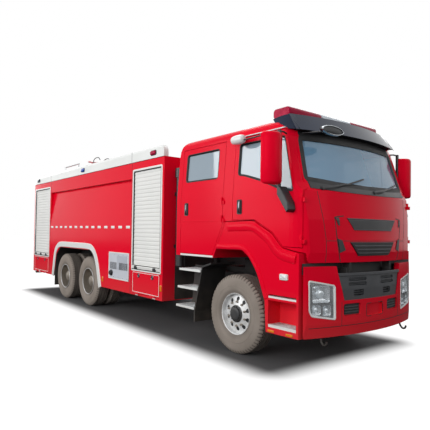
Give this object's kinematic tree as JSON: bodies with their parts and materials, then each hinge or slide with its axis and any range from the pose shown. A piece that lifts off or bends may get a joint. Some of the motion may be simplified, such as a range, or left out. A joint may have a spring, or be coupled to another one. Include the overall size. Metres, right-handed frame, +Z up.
{
  "type": "airport fire truck",
  "caption": "Crew-cab fire truck with a water tank body, roller-shutter lockers, drop-down flaps, roof water cannon and roof light bar.",
  "frame": {"origin": "on the ground under the middle of the overall length and width", "axes": "+X forward, +Y to the left, +Z up"},
  "size_m": [10.162, 3.28, 3.598],
  "materials": {
    "red_paint": "gloss red vehicle paint",
    "white_paint": "gloss white vehicle paint",
    "frame_black": "satin black frame paint",
    "shutter_alloy": "anodised slats",
    "panel_grey": "light grey paint",
    "insert_grey": "moulded dark grey",
    "trim_black": "moulded black",
    "lamp_glass": "clear lens over bright reflector",
    "marker_lens": "amber lens",
    "smoked_visor": "smoked acrylic",
    "screen_glass": "laminated glass",
    "side_glass": "toughened glass",
    "seat_cloth": "woven seat cloth",
    "ladder_steel": "brushed tube",
    "flap_rubber": "moulded rubber",
    "rim_silver": "silver wheel paint",
    "tyre_rubber": "road tyre"
  },
  "bodies": {
    "truck": {"chassis_frame": "frame_black", "front_axle": "frame_black", "rear_bogie": "frame_black", "engine": "frame_black", "bumper": "red_paint", "bumper_insert": "insert_grey", "headlamps": "lamp_glass", "front_fenders": "red_paint", "cab_steps": "white_paint", "front_locker": "red_paint", "tank_body": "red_paint", "pump_room": "red_paint", "roof_parapets": "white_paint", "shutters": "shutter_alloy", "arch_bands": "white_paint", "pump_panels": "panel_grey", "monitor_base": "red_paint", "ladder_rails": "ladder_steel", "marker_lamps": "marker_lens", "mudflaps": "flap_rubber", "rear_step": "frame_black", "air_intake": "trim_black"},
    "cab": {"cab_shell": "red_paint", "windscreen": "screen_glass", "cab_seats": "seat_cloth", "dashboard": "trim_black", "front_trim": "trim_black", "visor": "smoked_visor", "light_bar": "lamp_glass", "front_mirrors": "white_paint"},
    "front_door_left": {"front_door_left": "red_paint", "front_glass_left": "side_glass", "door_mirror_left": "red_paint"},
    "crew_door_left": {"crew_door_left": "red_paint", "crew_glass_left": "side_glass"},
    "knuckle_left": {"knuckle_left": "frame_black"},
    "front_wheel_left": {"front_rim_left": "rim_silver", "front_tyre_left": "tyre_rubber"},
    "mid_wheels_left": {"mid_rims_left": "rim_silver", "mid_tyres_left": "tyre_rubber"},
    "rear_wheels_left": {"rear_rims_left": "rim_silver", "rear_tyres_left": "tyre_rubber"},
    "front_flap_left": {"front_flap_left": "red_paint"},
    "rear_flap_left": {"rear_flap_left": "red_paint"},
    "front_door_right": {"front_door_right": "red_paint", "front_glass_right": "side_glass", "door_mirror_right": "red_paint"},
    "crew_door_right": {"crew_door_right": "red_paint", "crew_glass_right": "side_glass"},
    "knuckle_right": {"knuckle_right": "frame_black"},
    "front_wheel_right": {"front_rim_right": "rim_silver", "front_tyre_right": "tyre_rubber"},
    "mid_wheels_right": {"mid_rims_right": "rim_silver", "mid_tyres_right": "tyre_rubber"},
    "rear_wheels_right": {"rear_rims_right": "rim_silver", "rear_tyres_right": "tyre_rubber"},
    "front_flap_right": {"front_flap_right": "red_paint"},
    "rear_flap_right": {"rear_flap_right": "red_paint"},
    "monitor_swivel": {"monitor_swivel": "red_paint"},
    "monitor_barrel": {"monitor_barrel": "red_paint"}
  },
  "joints": [
    {"name": "cab_tilt", "type": "hinge", "parent": "truck", "child": "cab", "pos_m": [4.97, 0, 1.23], "axis": [0, 1, 0], "range_deg": [0, 45]},
    {"name": "front_door_left_hinge", "type": "hinge", "parent": "cab", "child": "front_door_left", "pos_m": [4.8635, 1.20654, 1.9], "axis": [0, 0, -1], "range_deg": [0, 70]},
    {"name": "crew_door_left_hinge", "type": "hinge", "parent": "cab", "child": "crew_door_left", "pos_m": [3.4535, 1.26, 2], "axis": [0, 0, -1], "range_deg": [0, 70]},
    {"name": "steer_left", "type": "hinge", "parent": "truck", "child": "knuckle_left", "pos_m": [3.67, 0.93, 0.546], "axis": [0, 0, 1], "range_deg": [-35, 35]},
    {"name": "front_wheel_left_spin", "type": "hinge", "parent": "knuckle_left", "child": "front_wheel_left", "pos_m": [3.67, 1.042, 0.546], "axis": [0, 1, 0], "continuous": true},
    {"name": "mid_wheels_left_spin", "type": "hinge", "parent": "truck", "child": "mid_wheels_left", "pos_m": [-1.18, 0.919, 0.546], "axis": [0, 1, 0], "continuous": true},
    {"name": "rear_wheels_left_spin", "type": "hinge", "parent": "truck", "child": "rear_wheels_left", "pos_m": [-2.55, 0.919, 0.546], "axis": [0, 1, 0], "continuous": true},
    {"name": "front_flap_left_hinge", "type": "hinge", "parent": "truck", "child": "front_flap_left", "pos_m": [1.349, 1.27, 0.5325], "axis": [-1, 0, 0], "range_deg": [0, 90]},
    {"name": "rear_flap_left_hinge", "type": "hinge", "parent": "truck", "child": "rear_flap_left", "pos_m": [-4.3, 1.27, 0.5325], "axis": [-1, 0, 0], "range_deg": [0, 90]},
    {"name": "front_door_right_hinge", "type": "hinge", "parent": "cab", "child": "front_door_right", "pos_m": [4.8635, -1.20654, 1.9], "axis": [0, 0, 1], "range_deg": [0, 70]},
    {"name": "crew_door_right_hinge", "type": "hinge", "parent": "cab", "child": "crew_door_right", "pos_m": [3.4535, -1.26, 2], "axis": [0, 0, 1], "range_deg": [0, 70]},
    {"name": "steer_right", "type": "hinge", "parent": "truck", "child": "knuckle_right", "pos_m": [3.67, -0.93, 0.546], "axis": [0, 0, 1], "range_deg": [-35, 35]},
    {"name": "front_wheel_right_spin", "type": "hinge", "parent": "knuckle_right", "child": "front_wheel_right", "pos_m": [3.67, -1.042, 0.546], "axis": [0, 1, 0], "continuous": true},
    {"name": "mid_wheels_right_spin", "type": "hinge", "parent": "truck", "child": "mid_wheels_right", "pos_m": [-1.18, -0.919, 0.546], "axis": [0, 1, 0], "continuous": true},
    {"name": "rear_wheels_right_spin", "type": "hinge", "parent": "truck", "child": "rear_wheels_right", "pos_m": [-2.55, -0.919, 0.546], "axis": [0, 1, 0], "continuous": true},
    {"name": "front_flap_right_hinge", "type": "hinge", "parent": "truck", "child": "front_flap_right", "pos_m": [1.349, -1.27, 0.5325], "axis": [1, 0, 0], "range_deg": [0, 90]},
    {"name": "rear_flap_right_hinge", "type": "hinge", "parent": "truck", "child": "rear_flap_right", "pos_m": [-4.3, -1.27, 0.5325], "axis": [1, 0, 0], "range_deg": [0, 90]},
    {"name": "monitor_turn", "type": "hinge", "parent": "truck", "child": "monitor_swivel", "pos_m": [-3.33, 0, 3.36], "axis": [0, 0, 1], "range_deg": [-170, 170]},
    {"name": "monitor_raise", "type": "hinge", "parent": "monitor_swivel", "child": "monitor_barrel", "pos_m": [-3.33, 0, 3.52], "axis": [0, -1, 0], "range_deg": [-10, 70]}
  ],
  "couplings": [
    {"joint": "steer_right", "follows": "steer_left", "ratio": 1}
  ]
}
